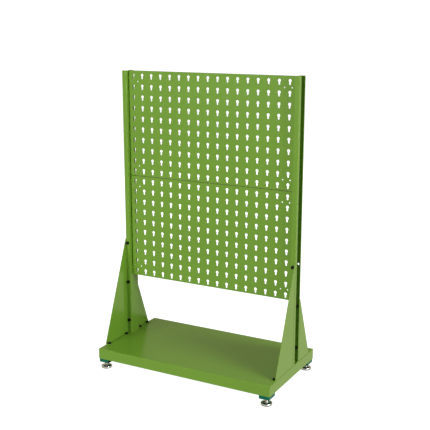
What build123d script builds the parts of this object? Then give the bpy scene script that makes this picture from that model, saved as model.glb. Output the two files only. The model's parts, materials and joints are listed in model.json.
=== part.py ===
"""Pegboard display stand: two punched panels between channel posts on a tray base with levelling feet.
Millimetres, +Z up, the front faces -Y, the origin is the centre of the footprint on the floor."""

import os
from math import cos, radians

from build123d import *

os.makedirs("parts", exist_ok=True)

# overall
stand_height = 1402.0
base_length = 904.0
base_depth = 496.0
base_height = 50.0

# sheet metal
frame_sheet = 2.0
panel_sheet = 1.2
bend_radius = 3.0
panel_bend = 2.2

# posts
post_rear_space = 181.0
post_depth = 65.0
post_width = 24.0
front_lip = 18.0
rear_lip = 8.0

# gussets
front_toe_margin = 60.0
front_height = 490.0
rear_toe_margin = 63.0
rear_height = 302.0
gusset_width = 22.0
toe_height = 6.0
gusset_land = 3.0
gusset_relief = 7.0

# panels
panel_side_gap = 3.0
panel_pitch = 500.0
panel_seam = 2.0
panel_recess = 17.0
side_return = 20.0
end_return = 14.0
flat_margin = 4.0

# punched grid
hole_pitch = 50.0
keyhole_head = 14.0
keyhole_slot = 8.0
keyhole_drop = 14.5
keyhole_rise = 4.5
fixing_hole = 6.0
fixing_edges = (50.0, 15.0)

# M8 frame bolts
bolt_size = 8.0
bolt_clearance_hole = 9.0
bolt_head_flats = 13.0
bolt_head_height = 5.3
washer_diameter = 17.0
washer_thickness = 1.6
nut_height = 6.5
bolt_top_edge = 22.0
bolt_spacing = 200.0
bolt_heel = 27.0
front_bolt_toe = 13.0
rear_bolt_toe = 21.0
bolt_tail = 1.5
bolt_tip_round = 0.6
corner_drop = 0.55
top_circle = 0.98

# M6 panel screws
screw_size = 6.0
screw_hole = 6.6
screw_head_diameter = 10.5
screw_head_height = 3.3
screw_head_round = 1.4
screw_nut_flats = 10.0
screw_nut_height = 5.0
spacer_diameter = 14.0
screw_tail = 1.5
screw_edge = 50.0
screw_offset = 1.0

# base tray
skirt_lip = 15.0
lip_gap = 2.0
rib_spacing = 300.0
rib_width = 36.0
rib_depth = 24.0
rib_flange = 16.0
rib_sheet = 1.5
rib_end_gap = 1.0

# levelling feet, M12
foot_inset = 26.0
bracket_length = 50.0
bracket_depth = 60.0
bracket_drop = 18.0
bracket_sheet = 2.5
bracket_rise = 30.0
stud_size = 12.0
stud_headroom = 10.0
stud_hole_play = 1.0
stud_chamfer = 1.2
driver_slot_width = 1.8
driver_slot_depth = 2.5
thread_clearance = 0.05
weld_nut_height = 10.0
foot_nut_flats = 19.0
lock_nut_height = 8.0
stud_collar_height = 4.0
stud_collar_step = 1.0
collar_gap = 2.0
pad_gap = 1.0
pad_diameter = 52.0
pad_rim = 8.0
pad_shoulder = 3.0
pad_height = 15.0
pad_neck = 26.0
pad_neck_height = 2.0
pad_edge_round = 0.8
ball_floor = 2.0
ball_clearance = 0.05
neck_step = 1.0
mouth_clearance = 0.5
sole_height = 1.5
sole_inset = 1.0
sole_chamfer = 0.4

# heights and planes that follow
foot_lift = pad_height + pad_gap + stud_collar_height + collar_gap + lock_nut_height + bracket_drop
skirt_bottom = foot_lift
base_top = foot_lift + base_height
half_length = base_length / 2
half_depth = base_depth / 2
post_rear = half_depth - post_rear_space
post_front = post_rear - post_depth
post_inner = half_length - post_width
front_reach = post_front + half_depth - front_toe_margin
rear_reach = post_rear_space - rear_toe_margin
bolt_x = half_length - post_width / 2
post_bolt_heights = [front_height - bolt_top_edge - step * bolt_spacing for step in (2, 1, 0)]
front_base_bolts = (bolt_heel, front_reach - front_bolt_toe)
rear_base_bolts = (bolt_heel, rear_reach - rear_bolt_toe)
panel_front = post_front + panel_recess
post_height = stand_height - base_top
panel_height = panel_pitch - panel_seam
panel_width = 2 * (post_inner - panel_side_gap)
keyhole_columns = int(panel_width // hole_pitch)
keyhole_rows = int(panel_pitch // hole_pitch)
first_row_drop = (panel_pitch - (keyhole_rows - 1) * hole_pitch) / 2
fixing_columns = [panel_width / 2 - edge for edge in fixing_edges]
screw_y = panel_front + side_return / 2 + screw_offset
screw_rows = (screw_edge, panel_pitch / 2, panel_pitch - screw_edge)
bracket_bottom = skirt_bottom - bracket_drop
lock_nut_bottom = bracket_bottom - lock_nut_height
collar_top = lock_nut_bottom - collar_gap
stud_top = base_top - frame_sheet - stud_headroom
stud_collar_flats = stud_size + 2 * stud_collar_step
ball_diameter = stud_size
ball_height = sole_height + ball_floor + ball_diameter / 2
stud_neck = ball_diameter - 2 * neck_step
pad_mouth = stud_neck + 2 * mouth_clearance
front_bolt_y = [post_front - distance for distance in front_base_bolts]
rear_bolt_y = [post_rear + distance for distance in rear_base_bolts]
corners = {"front_left": (-1, -1), "front_right": (1, -1), "rear_left": (-1, 1), "rear_right": (1, 1)}


def block(x_range, y_range, z_range):
    """Box between two values on each axis."""
    size = [high - low for low, high in (x_range, y_range, z_range)]
    centre = [(high + low) / 2 for low, high in (x_range, y_range, z_range)]
    return Pos(*centre) * Box(*size)


def rod(diameter, low, high, at, axis="z"):
    """Round bar between two values along one axis."""
    bar = Cylinder(diameter / 2, high - low)
    middle = (low + high) / 2
    if axis == "x":
        return Pos(middle, at[0], at[1]) * Rot(0, 90, 0) * bar
    if axis == "y":
        return Pos(at[0], middle, at[1]) * Rot(90, 0, 0) * bar
    return Pos(at[0], at[1], middle) * bar


def hexagon(flats, low, high, at, axis="z", bore=0.0):
    """Hexagonal bar between two values along one axis, with a bore where one is given."""
    outline = RegularPolygon(flats / 2, 6, major_radius=False)
    bar = extrude(outline, amount=high - low)
    bar = chamfered_ends(bar, flats, high - low)
    if bore:
        bar = bar - Cylinder(bore / 2, 3 * (high - low))
    if axis == "x":
        return Pos(low, at[0], at[1]) * Rot(0, 90, 0) * bar
    if axis == "y":
        return Pos(at[0], low, at[1]) * Rot(-90, 0, 0) * bar
    return Pos(at[0], at[1], low) * bar


def chamfered_ends(bar, flats, height):
    """Hexagon with its corners turned off to a cone at the upper end."""
    corner = flats / 2 / cos(radians(30))
    drop = (corner - flats / 2) * corner_drop
    cap = Pos(0, 0, height - drop / 2) * Cone(corner, flats / 2 * top_circle, drop)
    body = Pos(0, 0, (height - drop) / 2) * Cylinder(corner + 1.0, height - drop)
    return bar & (body + cap)


def save(shape, node):
    shape.label = node
    export_step(shape, "parts/" + node + ".step")
    print(node, len(shape.solids()), [round(value, 2) for value in shape.bounding_box().size])


def both_sides(shape):
    return {"right": shape, "left": mirror(shape, about=Plane.YZ)}


# base tray
def make_base():
    length_range = (-half_length, half_length)
    depth_range = (-half_depth, half_depth)
    shell = block(length_range, depth_range, (skirt_bottom, base_top))
    upright = shell.edges().filter_by(Axis.Z)
    shell = fillet(upright, bend_radius)
    shell = fillet(shell.faces().sort_by(Axis.Z)[-1].edges(), bend_radius)
    inner_x = half_length - frame_sheet
    inner_y = half_depth - frame_sheet
    inner_top = base_top - frame_sheet
    hollow = block((-inner_x, inner_x), (-inner_y, inner_y), (skirt_bottom + frame_sheet, inner_top))
    hollow = fillet(hollow.edges().filter_by(Axis.Z), bend_radius - frame_sheet)
    hollow = fillet(hollow.faces().sort_by(Axis.Z)[-1].edges(), bend_radius - frame_sheet)
    mouth_x = inner_x - skirt_lip
    mouth_y = inner_y - skirt_lip
    mouth = block((-mouth_x, mouth_x), (-mouth_y, mouth_y), (skirt_bottom - 1, skirt_bottom + frame_sheet + 1))
    tray = shell - hollow - mouth
    for side_x, side_y in corners.values():
        x_range = sorted((side_x * (inner_x - bracket_length - lip_gap), side_x * inner_x))
        y_range = sorted((side_y * (inner_y - bracket_depth - lip_gap), side_y * inner_y))
        tray -= block(x_range, y_range, (skirt_bottom - 1, skirt_bottom + frame_sheet + 1))
    for x in (-bolt_x, bolt_x):
        for y in front_bolt_y + rear_bolt_y:
            tray -= rod(bolt_clearance_hole, inner_top - 1, base_top + 1, (x, y))
    return tray


# hat rib under the top sheet
def make_rib(centre):
    reach = half_depth - frame_sheet - skirt_lip - rib_end_gap
    top = base_top - frame_sheet
    bottom = top - rib_depth
    half = rib_width / 2
    hat = block((-half, half), (-reach, reach), (bottom, top))
    hat -= block((-half + rib_sheet, half - rib_sheet), (-reach - 1, reach + 1), (bottom + rib_sheet, top + 1))
    for side in (-1, 1):
        x_range = sorted((side * (half - rib_sheet), side * (half + rib_flange)))
        hat += block(x_range, (-reach, reach), (top - rib_sheet, top))
    return Pos(centre, 0, 0) * hat


# right-hand post, a channel open to the outside
def make_post():
    centre_y = (post_front + post_rear) / 2
    centre_x = (post_inner + half_length) / 2
    outside = RectangleRounded(post_width, post_depth, bend_radius)
    inside = RectangleRounded(post_width - 2 * frame_sheet, post_depth - 2 * frame_sheet, bend_radius - frame_sheet)
    slot_depth = post_depth - front_lip - rear_lip
    slot_y = (front_lip - rear_lip) / 2
    slot = Pos(post_width / 2, slot_y) * Rectangle(4 * frame_sheet, slot_depth)
    section = outside - inside - slot
    post = Pos(centre_x, centre_y, base_top) * extrude(section, amount=post_height)
    for height in post_bolt_heights:
        at = (bolt_x, base_top + height)
        post -= rod(bolt_clearance_hole, post_front - 1, post_rear + 1, at, "y")
    for z in screw_heights():
        post -= rod(screw_hole, post_inner - 1, post_inner + frame_sheet + 1, (screw_y, z), "x")
    return post


def screw_heights():
    heights = []
    for top in panel_tops().values():
        heights += [top - row for row in screw_rows]
    return heights


def panel_tops():
    return {"upper": stand_height, "lower": stand_height - panel_pitch}


# right-hand gusset: facing is -1 for the front one and 1 for the rear one
def make_gusset(facing, reach, height, bolt_distances, heights):
    face = post_front if facing < 0 else post_rear
    outline = [
        (0, 0),
        (reach, 0),
        (reach, toe_height),
        (gusset_land, height),
        (0, height),
    ]
    points = [(half_length, face + facing * y, base_top + z) for y, z in outline]
    side = Face(Wire.make_polygon([Vector(*point) for point in points], close=True))
    wedge = Solid.extrude(side, Vector(-gusset_width, 0, 0))
    folds = []
    for edge in wedge.edges():
        middle = edge.center()
        on_side = abs(middle.X - half_length) < 0.01
        on_post = abs(middle.Y - face) < 0.01
        on_base = abs(middle.Z - base_top) < 0.01
        if on_side and (on_post or on_base):
            folds.append(edge)
    wedge = fillet(folds, bend_radius)
    x_range = (half_length - gusset_width - 1, half_length - frame_sheet)
    y_range = sorted((face + facing * frame_sheet, face + facing * (reach + 1)))
    core = block(x_range, y_range, (base_top + frame_sheet, base_top + height + 1))
    inner_fold = []
    for edge in core.edges():
        middle = edge.center()
        on_side = abs(middle.X - x_range[1]) < 0.01
        on_post = abs(middle.Y - (face + facing * frame_sheet)) < 0.01
        on_base = abs(middle.Z - (base_top + frame_sheet)) < 0.01
        if on_side and (on_post or on_base):
            inner_fold.append(edge)
    core = fillet(inner_fold, bend_radius - frame_sheet)
    gusset = wedge - core
    relief_y = sorted((face + facing * frame_sheet, face + facing * (frame_sheet + gusset_relief)))
    relief_x = (half_length - gusset_width - 1, half_length - bend_radius - 1)
    gusset -= block(relief_x, relief_y, (base_top - 1, base_top + frame_sheet + 1))
    for z in heights:
        y_range = sorted((face - facing, face + facing * (frame_sheet + 1)))
        gusset -= rod(bolt_clearance_hole, y_range[0], y_range[1], (bolt_x, base_top + z), "y")
    for distance in bolt_distances:
        at = (bolt_x, face + facing * distance)
        gusset -= rod(bolt_clearance_hole, base_top - 1, base_top + frame_sheet + 1, at)
    return gusset


# keyhole outline: a round head above a narrower slot
def keyhole(x, z):
    head = keyhole_head / 2
    slot = keyhole_slot / 2
    join = (head ** 2 - slot ** 2) ** 0.5
    low = (x, z - keyhole_drop)
    left_join = (x - slot, z - join)
    right_join = (x + slot, z - join)
    arc_over = ThreePointArc(left_join, (x, z + head), right_join)
    right_side = Line(right_join, (x + slot, low[1]))
    arc_under = ThreePointArc((x + slot, low[1]), (x, low[1] - slot), (x - slot, low[1]))
    left_side = Line((x - slot, low[1]), left_join)
    return Wire([arc_over, right_side, arc_under, left_side])


# punched panel with returns on all four sides
def make_panel(top):
    half = panel_width / 2
    bottom = top - panel_height
    front = panel_front
    pan = block((-half, half), (front, front + side_return), (bottom, top))
    front_face = pan.faces().sort_by(Axis.Y)[0]
    pan = fillet(front_face.edges(), panel_bend)
    inner = block(
        (-half + panel_sheet, half - panel_sheet),
        (front + panel_sheet, front + side_return + 1),
        (bottom + panel_sheet, top - panel_sheet),
    )
    inner = fillet(inner.faces().sort_by(Axis.Y)[0].edges(), panel_bend - panel_sheet)
    pan -= inner
    clear = half - panel_sheet
    for low, high in ((bottom - 1, bottom + panel_bend), (top - panel_bend, top + 1)):
        pan -= block((-clear, clear), (front + end_return, front + side_return + 1), (low, high))
    margin = panel_bend + flat_margin
    flat_x = (-half + margin, half - margin)
    flat_z = (bottom + margin, top - margin)
    pan -= block(flat_x, (front - 1, front + 2 * panel_sheet), flat_z)
    first_column = -(keyhole_columns - 1) / 2 * hole_pitch
    first_row = top - first_row_drop
    openings = []
    for column in range(keyhole_columns):
        for row in range(keyhole_rows):
            x = first_column + column * hole_pitch
            openings.append(keyhole(x, first_row - row * hole_pitch + keyhole_rise))
    fixing_top = first_row - hole_pitch / 2
    for z in (fixing_top, fixing_top - (keyhole_rows - 2) * hole_pitch):
        for x in fixing_columns:
            for side in (-1, 1):
                openings.append(Pos(side * x, z) * Wire.make_circle(fixing_hole / 2))
    outline = Wire.make_polygon(
        [
            (flat_x[0], flat_z[0]),
            (flat_x[1], flat_z[0]),
            (flat_x[1], flat_z[1]),
            (flat_x[0], flat_z[1]),
        ],
        close=True,
    )
    sheet = Solid.extrude(Face(outline, openings), Vector(0, 0, panel_sheet))
    sheet = Pos(0, front + panel_sheet, 0) * Rot(90, 0, 0) * sheet
    pan = pan + sheet
    for row in screw_rows:
        for side in (-1, 1):
            x_range = sorted((side * (half - 2 * panel_sheet), side * (half + 1)))
            pan -= rod(screw_hole, x_range[0], x_range[1], (screw_y, top - row), "x")
    return pan


# fastener sets
def frame_bolt(length):
    """Bolt with its head seated on z = 0 and its shank along -Z, with a washer under the head."""
    head = hexagon(bolt_head_flats, washer_thickness, washer_thickness + bolt_head_height, (0, 0))
    shank = rod(bolt_size, -length, washer_thickness, (0, 0))
    washer = rod(washer_diameter, 0, washer_thickness, (0, 0))
    tip = fillet(shank.faces().sort_by(Axis.Z)[0].edges(), bolt_tip_round)
    return head + tip + washer


def grip_nut():
    """Hexagon nut whose upper face is at z = 0."""
    nut = hexagon(bolt_head_flats, 0, nut_height, (0, 0), bore=bolt_size)
    return Rot(180, 0, 0) * nut


def post_bolts(facing, heights):
    face = post_front if facing < 0 else post_rear
    turn = Rot(90, 0, 0) if facing < 0 else Rot(-90, 0, 0)
    seat = face + facing * frame_sheet
    back = face - facing * frame_sheet
    length = 2 * frame_sheet + nut_height + bolt_tail
    bolts = []
    nuts = []
    for side in (-1, 1):
        for height in heights:
            z = base_top + height
            bolts.append(Pos(side * bolt_x, seat, z) * turn * frame_bolt(length))
            nuts.append(Pos(side * bolt_x, back, z) * turn * grip_nut())
    return bolts, nuts


def base_bolts(positions):
    length = 2 * frame_sheet + nut_height + bolt_tail
    bolts = []
    nuts = []
    for side in (-1, 1):
        for y in positions:
            bolts.append(Pos(side * bolt_x, y, base_top + frame_sheet) * frame_bolt(length))
            nuts.append(Pos(side * bolt_x, y, base_top - frame_sheet) * grip_nut())
    return bolts, nuts


def panel_fasteners():
    screws = []
    spacers = []
    nuts = []
    web_outer = post_inner + frame_sheet
    return_inner = panel_width / 2 - panel_sheet
    for z in screw_heights():
        at = (screw_y, z)
        shank_end = return_inner - screw_nut_height - screw_tail
        head = rod(screw_head_diameter, web_outer, web_outer + screw_head_height, at, "x")
        head = fillet(head.faces().sort_by(Axis.X)[-1].edges(), screw_head_round)
        screw = head + rod(screw_size, shank_end, web_outer, at, "x")
        spacer = rod(spacer_diameter, panel_width / 2, post_inner, at, "x")
        spacer -= rod(screw_size, panel_width / 2 - 1, post_inner + 1, at, "x")
        nut = hexagon(screw_nut_flats, return_inner - screw_nut_height, return_inner, at, "x", screw_size)
        for shape, group in ((screw, screws), (spacer, spacers), (nut, nuts)):
            group += list(both_sides(shape).values())
    return screws, spacers, nuts


# levelling feet
def foot_centre(corner):
    side_x, side_y = corners[corner]
    return side_x * (half_length - foot_inset), side_y * (half_depth - foot_inset)


def make_bracket(corner):
    side_x, side_y = corners[corner]
    outer_x = half_length - frame_sheet
    outer_y = half_depth - frame_sheet
    inner_x = outer_x - bracket_length
    inner_y = outer_y - bracket_depth
    top = skirt_bottom + bracket_rise
    solid = block((inner_x, outer_x), (inner_y, outer_y), (bracket_bottom, top))
    bends = []
    for edge in solid.edges():
        middle = edge.center()
        on_x = abs(middle.X - outer_x) < 0.01
        on_y = abs(middle.Y - outer_y) < 0.01
        on_floor = abs(middle.Z - bracket_bottom) < 0.01
        if on_x + on_y + on_floor == 2:
            bends.append(edge)
    solid = fillet(bends, bend_radius)
    wall_x = outer_x - bracket_sheet
    wall_y = outer_y - bracket_sheet
    hollow = block((inner_x - 1, wall_x), (inner_y - 1, wall_y), (bracket_bottom + bracket_sheet, top + 1))
    bracket = solid - hollow
    centre = (half_length - foot_inset, half_depth - foot_inset)
    bracket -= rod(stud_size + stud_hole_play, bracket_bottom - 1, bracket_bottom + bracket_sheet + 1, centre)
    if side_x < 0:
        bracket = mirror(bracket, about=Plane.YZ)
    if side_y < 0:
        bracket = mirror(bracket, about=Plane.XZ)
    return bracket


def foot_nuts():
    weld_nuts = []
    lock_nuts = []
    bore = stud_size + 2 * thread_clearance
    for corner in corners:
        at = foot_centre(corner)
        plate_top = bracket_bottom + bracket_sheet
        weld_nuts.append(hexagon(foot_nut_flats, plate_top, plate_top + weld_nut_height, at, bore=bore))
        lock_nuts.append(hexagon(foot_nut_flats, lock_nut_bottom, bracket_bottom, at, bore=bore))
    return weld_nuts, lock_nuts


def make_stud(corner):
    x, y = foot_centre(corner)
    collar_bottom = collar_top - stud_collar_height
    shank = rod(stud_size, collar_bottom, stud_top, (0, 0))
    shank = chamfer(shank.faces().sort_by(Axis.Z)[-1].edges(), stud_chamfer)
    collar = hexagon(stud_collar_flats, collar_bottom, collar_top, (0, 0))
    neck = rod(stud_neck, ball_height, collar_bottom + 1, (0, 0))
    ball = Pos(0, 0, ball_height) * Sphere(ball_diameter / 2)
    slot_y = (-driver_slot_width / 2, driver_slot_width / 2)
    slot = block((-stud_size, stud_size), slot_y, (stud_top - driver_slot_depth, stud_top + 1))
    return Pos(x, y, 0) * (shank + collar + neck + ball - slot)


def make_pad(corner):
    x, y = foot_centre(corner)
    rim = pad_diameter / 2
    neck = pad_neck / 2
    shoulder = sole_height + pad_rim
    outline = [
        (0, sole_height),
        (rim, sole_height),
        (rim, shoulder),
        (neck, pad_height - pad_neck_height),
        (neck, pad_height),
        (0, pad_height),
    ]
    section = Face(Wire.make_polygon([Vector(radius, 0, z) for radius, z in outline], close=True))
    body = Solid.revolve(section, 360, Axis.Z)
    body = fillet(body.edges().filter_by(GeomType.CIRCLE).group_by(Axis.Z)[0], pad_edge_round)
    shoulder_edges = [e for e in body.edges().filter_by(GeomType.CIRCLE) if abs(e.center().Z - shoulder) < 0.01]
    body = fillet(shoulder_edges, pad_shoulder)
    body = chamfer(body.edges().filter_by(GeomType.CIRCLE).group_by(Axis.Z)[-1], pad_edge_round)
    body -= Pos(0, 0, ball_height) * Sphere(ball_diameter / 2 + ball_clearance)
    mouth = Cylinder(pad_mouth / 2, 4 * ball_height, align=(Align.CENTER, Align.CENTER, Align.MIN))
    body -= Pos(0, 0, ball_height) * mouth
    return Pos(x, y, 0) * body


def make_sole(corner):
    x, y = foot_centre(corner)
    sole = Cylinder(pad_diameter / 2 - sole_inset, sole_height, align=(Align.CENTER, Align.CENTER, Align.MIN))
    return Pos(x, y, 0) * chamfer(sole.faces().sort_by(Axis.Z)[0].edges(), sole_chamfer)


save(make_base(), "base_tray")
for side, facing in (("left", -1), ("right", 1)):
    save(make_rib(facing * rib_spacing / 2), "base_rib_" + side)

for side, shape in both_sides(make_post()).items():
    save(shape, "post_" + side)
front = make_gusset(-1, front_reach, front_height, front_base_bolts, post_bolt_heights)
rear = make_gusset(1, rear_reach, rear_height, rear_base_bolts, post_bolt_heights[:2])
for side, shape in both_sides(front).items():
    save(shape, "front_gusset_" + side)
for side, shape in both_sides(rear).items():
    save(shape, "rear_gusset_" + side)

for name, top in panel_tops().items():
    save(make_panel(top), name + "_panel")

bolts, nuts = post_bolts(-1, post_bolt_heights)
save(Compound(children=bolts), "front_post_bolts")
save(Compound(children=nuts), "front_post_nuts")
bolts, nuts = post_bolts(1, post_bolt_heights[:2])
save(Compound(children=bolts), "rear_post_bolts")
save(Compound(children=nuts), "rear_post_nuts")
bolts, nuts = base_bolts(front_bolt_y + rear_bolt_y)
save(Compound(children=bolts), "base_bolts")
save(Compound(children=nuts), "base_nuts")
screws, spacers, nuts = panel_fasteners()
save(Compound(children=screws), "panel_screws")
save(Compound(children=spacers), "panel_spacers")
save(Compound(children=nuts), "panel_nuts")

weld_nuts, lock_nuts = foot_nuts()
save(Compound(children=weld_nuts), "foot_weld_nuts")
save(Compound(children=lock_nuts), "foot_lock_nuts")
for corner in corners:
    save(make_bracket(corner), "foot_bracket_" + corner)
    save(make_stud(corner), "foot_stud_" + corner)
    save(make_pad(corner), "foot_pad_" + corner)
    save(make_sole(corner), "foot_sole_" + corner)
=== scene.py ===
import json

import bpy
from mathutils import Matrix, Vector

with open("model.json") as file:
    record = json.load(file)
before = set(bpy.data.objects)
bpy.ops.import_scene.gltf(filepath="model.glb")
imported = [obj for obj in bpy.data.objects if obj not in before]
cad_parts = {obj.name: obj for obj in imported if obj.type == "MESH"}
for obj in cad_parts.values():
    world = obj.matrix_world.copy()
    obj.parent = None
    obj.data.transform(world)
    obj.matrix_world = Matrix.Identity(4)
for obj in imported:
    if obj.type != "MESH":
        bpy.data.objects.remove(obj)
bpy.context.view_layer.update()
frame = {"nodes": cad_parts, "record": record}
print("stand loaded:", len(frame["nodes"]), "pieces")


# small node helpers
def newMaterial(name):
    mat = bpy.data.materials.new(name)
    mat.use_nodes = True
    nodes = mat.node_tree.nodes
    nodes.clear()
    out = nodes.new("ShaderNodeOutputMaterial")
    shader = nodes.new("ShaderNodeBsdfPrincipled")
    mat.node_tree.links.new(shader.outputs["BSDF"], out.inputs["Surface"])
    return mat, nodes, mat.node_tree.links, shader


def noiseNode(nodes, links, coords, scale, detail, roughness):
    noise = nodes.new("ShaderNodeTexNoise")
    noise.inputs["Scale"].default_value = scale
    noise.inputs["Detail"].default_value = detail
    noise.inputs["Roughness"].default_value = roughness
    links.new(coords, noise.inputs["Vector"])
    return noise.outputs["Fac"]


def rangeNode(nodes, links, value, low, high, fromLow=0.0, fromHigh=1.0):
    remap = nodes.new("ShaderNodeMapRange")
    remap.inputs["From Min"].default_value = fromLow
    remap.inputs["From Max"].default_value = fromHigh
    remap.inputs["To Min"].default_value = low
    remap.inputs["To Max"].default_value = high
    links.new(value, remap.inputs["Value"])
    return remap.outputs["Result"]


def mixColour(nodes, links, factor, first, second):
    mix = nodes.new("ShaderNodeMix")
    mix.data_type = "RGBA"
    links.new(factor, mix.inputs["Factor"])
    for socket, value in ((mix.inputs["A"], first), (mix.inputs["B"], second)):
        if isinstance(value, tuple):
            socket.default_value = (*value, 1.0)
        else:
            links.new(value, socket)
    return mix.outputs["Result"]


def bumpNode(nodes, links, height, strength, distance):
    bump = nodes.new("ShaderNodeBump")
    bump.inputs["Strength"].default_value = strength
    bump.inputs["Distance"].default_value = distance
    links.new(height, bump.inputs["Height"])
    return bump.outputs["Normal"]


def spreadAround(middle, spread):
    return middle - spread / 2, middle + spread / 2


# powder coat, for the green sheet metal and the teal foot brackets
greenCoat = {
    "colour": (0.165, 0.335, 0.030),
    "deepColour": (0.150, 0.312, 0.026),
    "scuffColour": (0.20, 0.37, 0.05),
    "roughness": 0.19,
    "roughnessSpread": 0.07,
    "specular": 0.36,
}
tealCoat = {
    "colour": (0.003, 0.150, 0.098),
    "deepColour": (0.003, 0.125, 0.076),
    "scuffColour": (0.02, 0.19, 0.13),
    "roughness": 0.26,
    "roughnessSpread": 0.08,
    "specular": 0.10,
}
coatGrain = {
    "cloud": {"scale": 2.4, "detail": 4.0, "roughness": 0.55},
    "cloudRange": (0.3, 0.7),
    "rub": {"scale": 46.0, "detail": 6.0, "roughness": 0.72},
    "rubRange": (0.66, 0.82),
    "rubAmount": 0.35,
    "sheen": {"scale": 17.0, "detail": 5.0, "roughness": 0.6},
    "sheenRange": (0.3, 0.7),
    "peel": {"scale": 620.0, "detail": 2.0, "roughness": 0.5},
    "peelStrength": 0.22,
    "peelDepth": 0.00006,
}


def powderCoat(name, s):
    g = coatGrain
    mat, nodes, links, shader = newMaterial(name)
    coords = nodes.new("ShaderNodeTexCoord").outputs["Object"]

    cloud = noiseNode(nodes, links, coords, **g["cloud"])
    tone = rangeNode(nodes, links, cloud, 0.0, 1.0, *g["cloudRange"])
    base = mixColour(nodes, links, tone, s["deepColour"], s["colour"])
    rub = noiseNode(nodes, links, coords, **g["rub"])
    rubMask = rangeNode(nodes, links, rub, 0.0, g["rubAmount"], *g["rubRange"])
    colour = mixColour(nodes, links, rubMask, base, s["scuffColour"])
    links.new(colour, shader.inputs["Base Color"])

    sheen = noiseNode(nodes, links, coords, **g["sheen"])
    low, high = spreadAround(s["roughness"], s["roughnessSpread"])
    dullness = rangeNode(nodes, links, sheen, low, high, *g["sheenRange"])
    links.new(dullness, shader.inputs["Roughness"])

    peel = noiseNode(nodes, links, coords, **g["peel"])
    normal = bumpNode(nodes, links, peel, g["peelStrength"], g["peelDepth"])
    links.new(normal, shader.inputs["Normal"])
    shader.inputs["Specular IOR Level"].default_value = s["specular"]
    shader.inputs["Metallic"].default_value = 0.0
    return mat


# plated and blackened steel
blackSteel = {
    "colour": (0.004, 0.005, 0.004), "worn": (0.013, 0.014, 0.012),
    "metallic": 0.0, "specular": 0.16, "roughness": 0.42, "spread": 0.16,
}
zincSteel = {
    "colour": (0.58, 0.59, 0.60), "worn": (0.42, 0.43, 0.45),
    "metallic": 1.0, "specular": 0.5, "roughness": 0.30, "spread": 0.16,
}
yellowZinc = {
    "colour": (0.66, 0.38, 0.10), "worn": (0.55, 0.42, 0.22),
    "metallic": 1.0, "specular": 0.5, "roughness": 0.30, "spread": 0.14,
}
chromePlate = {
    "colour": (0.72, 0.75, 0.84), "worn": (0.55, 0.56, 0.61),
    "metallic": 1.0, "specular": 0.5, "roughness": 0.09, "spread": 0.06,
    # the last three values paint a dark reflection round the foot of the pad, by height
    # in metres
    "paintedDarkReflection": (0.035, 0.034, 0.032), "paintedReflectionFrom": 0.0030, "paintedReflectionTo": 0.0066,
}
steelGrain = {
    "patch": {"scale": 180.0, "detail": 5.0, "roughness": 0.65},
    "patchRange": (0.42, 0.68),
    "fine": {"scale": 1500.0, "detail": 3.0, "roughness": 0.6},
    "fineStrength": 0.15,
    "fineDepth": 0.00003,
}


def platedSteel(name, s):
    g = steelGrain
    mat, nodes, links, shader = newMaterial(name)
    coords = nodes.new("ShaderNodeTexCoord").outputs["Object"]

    patch = noiseNode(nodes, links, coords, **g["patch"])
    mask = rangeNode(nodes, links, patch, 0.0, 1.0, *g["patchRange"])
    tone = mixColour(nodes, links, mask, s["colour"], s["worn"])
    if "paintedDarkReflection" in s:  # painted dark reflection: a dark band round the foot of the pad, by height in metres, in place of the shaded floor the chrome would mirror
        split = nodes.new("ShaderNodeSeparateXYZ")
        links.new(coords, split.inputs["Vector"])
        height = split.outputs["Z"]
        paintedReflectionMask = rangeNode(nodes, links, height, 1.0, 0.0, s["paintedReflectionFrom"], s["paintedReflectionTo"])
        tone = mixColour(nodes, links, paintedReflectionMask, tone, s["paintedDarkReflection"])
    links.new(tone, shader.inputs["Base Color"])

    low, high = spreadAround(s["roughness"], s["spread"])
    links.new(rangeNode(nodes, links, mask, low, high), shader.inputs["Roughness"])

    fine = noiseNode(nodes, links, coords, **g["fine"])
    normal = bumpNode(nodes, links, fine, g["fineStrength"], g["fineDepth"])
    links.new(normal, shader.inputs["Normal"])
    shader.inputs["Metallic"].default_value = s["metallic"]
    shader.inputs["Specular IOR Level"].default_value = s["specular"]
    return mat


# moulded rubber of the soles
soleRubber = {
    "colour": (0.018, 0.018, 0.018),
    "dustColour": (0.06, 0.058, 0.055),
    "roughness": 0.75,
    "dust": {"scale": 90.0, "detail": 5.0, "roughness": 0.6},
    "dustRange": (0.5, 0.75),
    "dustAmount": 0.6,
    "bumpStrength": 0.3,
    "bumpDepth": 0.0001,
}


def mouldedRubber(name, s):
    mat, nodes, links, shader = newMaterial(name)
    coords = nodes.new("ShaderNodeTexCoord").outputs["Object"]
    dust = noiseNode(nodes, links, coords, **s["dust"])
    mask = rangeNode(nodes, links, dust, 0.0, s["dustAmount"], *s["dustRange"])
    colour = mixColour(nodes, links, mask, s["colour"], s["dustColour"])
    links.new(colour, shader.inputs["Base Color"])
    shader.inputs["Roughness"].default_value = s["roughness"]
    normal = bumpNode(nodes, links, dust, s["bumpStrength"], s["bumpDepth"])
    links.new(normal, shader.inputs["Normal"])
    return mat


finishes = {
    "green_powder_coat": powderCoat("greenPowderCoat", greenCoat),
    "teal_powder_coat": powderCoat("tealPowderCoat", tealCoat),
    "black_fasteners": platedSteel("blackenedSteel", blackSteel),
    "zinc_fasteners": platedSteel("brightZinc", zincSteel),
    "yellow_zinc": platedSteel("yellowZinc", yellowZinc),
    "chrome": platedSteel("chromePlate", chromePlate),
    "black_rubber": mouldedRubber("soleRubber", soleRubber),
}
for part in frame["record"]["subparts"]:
    piece = frame["nodes"][part["node"]]
    piece.data.materials.clear()
    piece.data.materials.append(finishes[part["material_slot"]])
for node in ("front_post_nuts", "rear_post_nuts"):  # black like their bolts
    frame["nodes"][node].data.materials[0] = finishes["black_fasteners"]
print("finishes on:", len(finishes))


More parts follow.
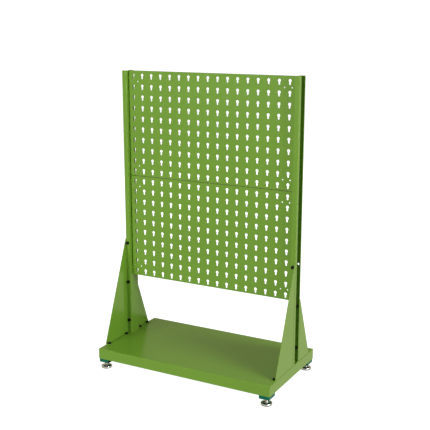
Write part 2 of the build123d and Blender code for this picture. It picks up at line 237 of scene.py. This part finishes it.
# pale glowing floor that only the camera sees; its glow is painted dimmer near the
# stand, a painted shade round it, and brightens away from the stand
floorLook = {
    "size": 60.0,
    "colour": (0.42, 0.42, 0.42),
    "roughness": 0.9,
    "glowNear": 0.93,
    "glowFar": 1.02,
    "fade": 1.5,
}
white = (1.0, 1.0, 1.0)


def layFloor(s):
    half = s["size"] / 2
    corners = [(-half, -half, 0), (half, -half, 0), (half, half, 0), (-half, half, 0)]
    mesh = bpy.data.meshes.new("paleFloor")
    mesh.from_pydata(corners, [], [(0, 1, 2, 3)])
    plane = bpy.data.objects.new("paleFloor", mesh)
    bpy.context.scene.collection.objects.link(plane)
    mat, nodes, links, shader = newMaterial("paleFloor")
    shader.inputs["Base Color"].default_value = (*s["colour"], 1.0)
    shader.inputs["Roughness"].default_value = s["roughness"]
    shader.inputs["Specular IOR Level"].default_value = 0.0
    coords = nodes.new("ShaderNodeTexCoord").outputs["Object"]
    away = nodes.new("ShaderNodeVectorMath")
    away.operation = "LENGTH"
    links.new(coords, away.inputs[0])
    distance = away.outputs["Value"]
    # painted shade: the glow is lower near the stand and rises to full away from it
    glow = rangeNode(nodes, links, distance, s["glowNear"], s["glowFar"], 0.0, s["fade"])
    shader.inputs["Emission Color"].default_value = (*white, 1.0)
    links.new(glow, shader.inputs["Emission Strength"])
    mesh.materials.append(mat)
    plane.visible_diffuse = False
    plane.visible_glossy = False


# surround: one brightness seen, one that lights, and tints that show in gloss
surround = {
    "seen": 1.02,
    "fill": 0.24,
    "mirrored": (0.42, 0.40, 0.36),
    "mirroredBehind": (0.46, 0.39, 0.27),
    "mirroredBelow": (0.98, 0.94, 0.66),
    "behindRange": (0.2, 0.6),
    "horizon": 0.03,
}


def backgroundNode(nodes, strength):
    shade = nodes.new("ShaderNodeBackground")
    shade.inputs["Color"].default_value = (*white, 1.0)
    shade.inputs["Strength"].default_value = strength
    return shade


def lightWorld(s):
    world = bpy.data.worlds.new("paleSurround")
    world.use_nodes = True
    bpy.context.scene.world = world
    nodes = world.node_tree.nodes
    links = world.node_tree.links
    nodes.clear()
    out = nodes.new("ShaderNodeOutputWorld")
    seen = backgroundNode(nodes, s["seen"])
    fill = backgroundNode(nodes, s["fill"])
    mirrored = backgroundNode(nodes, 1.0)
    coords = nodes.new("ShaderNodeTexCoord")
    split = nodes.new("ShaderNodeSeparateXYZ")
    links.new(coords.outputs["Generated"], split.inputs["Vector"])
    behind = rangeNode(nodes, links, split.outputs["Y"], 0.0, 1.0, *s["behindRange"])
    above = mixColour(nodes, links, behind, s["mirrored"], s["mirroredBehind"])
    edge = s["horizon"]
    below = rangeNode(nodes, links, split.outputs["Z"], 1.0, 0.0, -edge, edge)
    tint = mixColour(nodes, links, below, above, s["mirroredBelow"])
    links.new(tint, mirrored.inputs["Color"])
    path = nodes.new("ShaderNodeLightPath")
    inner = nodes.new("ShaderNodeMixShader")
    links.new(path.outputs["Is Glossy Ray"], inner.inputs["Fac"])
    links.new(fill.outputs["Background"], inner.inputs[1])
    links.new(mirrored.outputs["Background"], inner.inputs[2])
    pick = nodes.new("ShaderNodeMixShader")
    links.new(path.outputs["Is Camera Ray"], pick.inputs["Fac"])
    links.new(inner.outputs["Shader"], pick.inputs[1])
    links.new(seen.outputs["Background"], pick.inputs[2])
    links.new(pick.outputs["Shader"], out.inputs["Surface"])


# softboxes; inGloss and inDiffuse say what each one acts on
lamps = [
    {
        "name": "frontSoftbox", "at": (-1.7, -4.6, 1.5), "to": (0.0, 0.0, 0.7),
        "size": (2.6, 1.8), "power": 162.0, "inGloss": False, "inDiffuse": True,
    },
    {
        "name": "rightSoftbox", "at": (8.6, -1.15, 3.6), "to": (0.3, 0.0, 0.6),
        "size": (3.4, 3.4), "power": 472.0, "inGloss": True, "inDiffuse": True,
    },
    {
        "name": "bendStrip", "at": (4.4, -2.6, 1.6), "to": (0.0, 0.0, 0.7),
        "size": (2.2, 2.0), "power": 165.0, "inGloss": True, "inDiffuse": False,
    },
    {
        "name": "rearSoftbox", "at": (-3.2, 4.6, 2.4), "to": (0.0, 0.0, 0.7),
        "size": (2.6, 1.8), "power": 60.0, "inGloss": False, "inDiffuse": True,
    },
    {
        "name": "highSoftbox", "at": (3.0, -0.6, 2.3), "to": (0.4, 0.0, 1.1),
        "size": (0.9, 0.9), "power": 16.0, "inGloss": True, "inDiffuse": True,
    },
]


def aimAlong(holder, direction):
    holder.rotation_euler = direction.to_track_quat("-Z", "Y").to_euler()
    bpy.context.scene.collection.objects.link(holder)


def hangLamp(s):
    lamp = bpy.data.lights.new(s["name"], "AREA")
    lamp.shape = "RECTANGLE"
    lamp.size, lamp.size_y = s["size"]
    lamp.energy = s["power"]
    holder = bpy.data.objects.new(s["name"], lamp)
    holder.location = s["at"]
    holder.visible_glossy = s["inGloss"]
    holder.visible_diffuse = s["inDiffuse"]
    aimAlong(holder, Vector(s["to"]) - Vector(s["at"]))


view = {
    "at": (1.843, -3.302, 1.627),
    "ahead": (-0.4696, 0.8517, -0.2323),
    "lens": 70.30,
    "sensor": 36.0,
    "shift": (0.0116, 0.0157),
    "farthest": 100.0,
}


def setCamera(s):
    lens = bpy.data.cameras.new("standView")
    lens.lens = s["lens"]
    lens.sensor_width = s["sensor"]
    lens.shift_x, lens.shift_y = s["shift"]
    lens.clip_end = s["farthest"]
    holder = bpy.data.objects.new("standView", lens)
    holder.location = s["at"]
    aimAlong(holder, Vector(s["ahead"]))
    bpy.context.scene.camera = holder


layFloor(floorLook)
lightWorld(surround)
for lamp in lamps:
    hangLamp(lamp)
setCamera(view)
bpy.context.scene.view_settings.view_transform = "Standard"
bpy.context.scene.view_settings.look = "None"
print("floor, light and camera set")
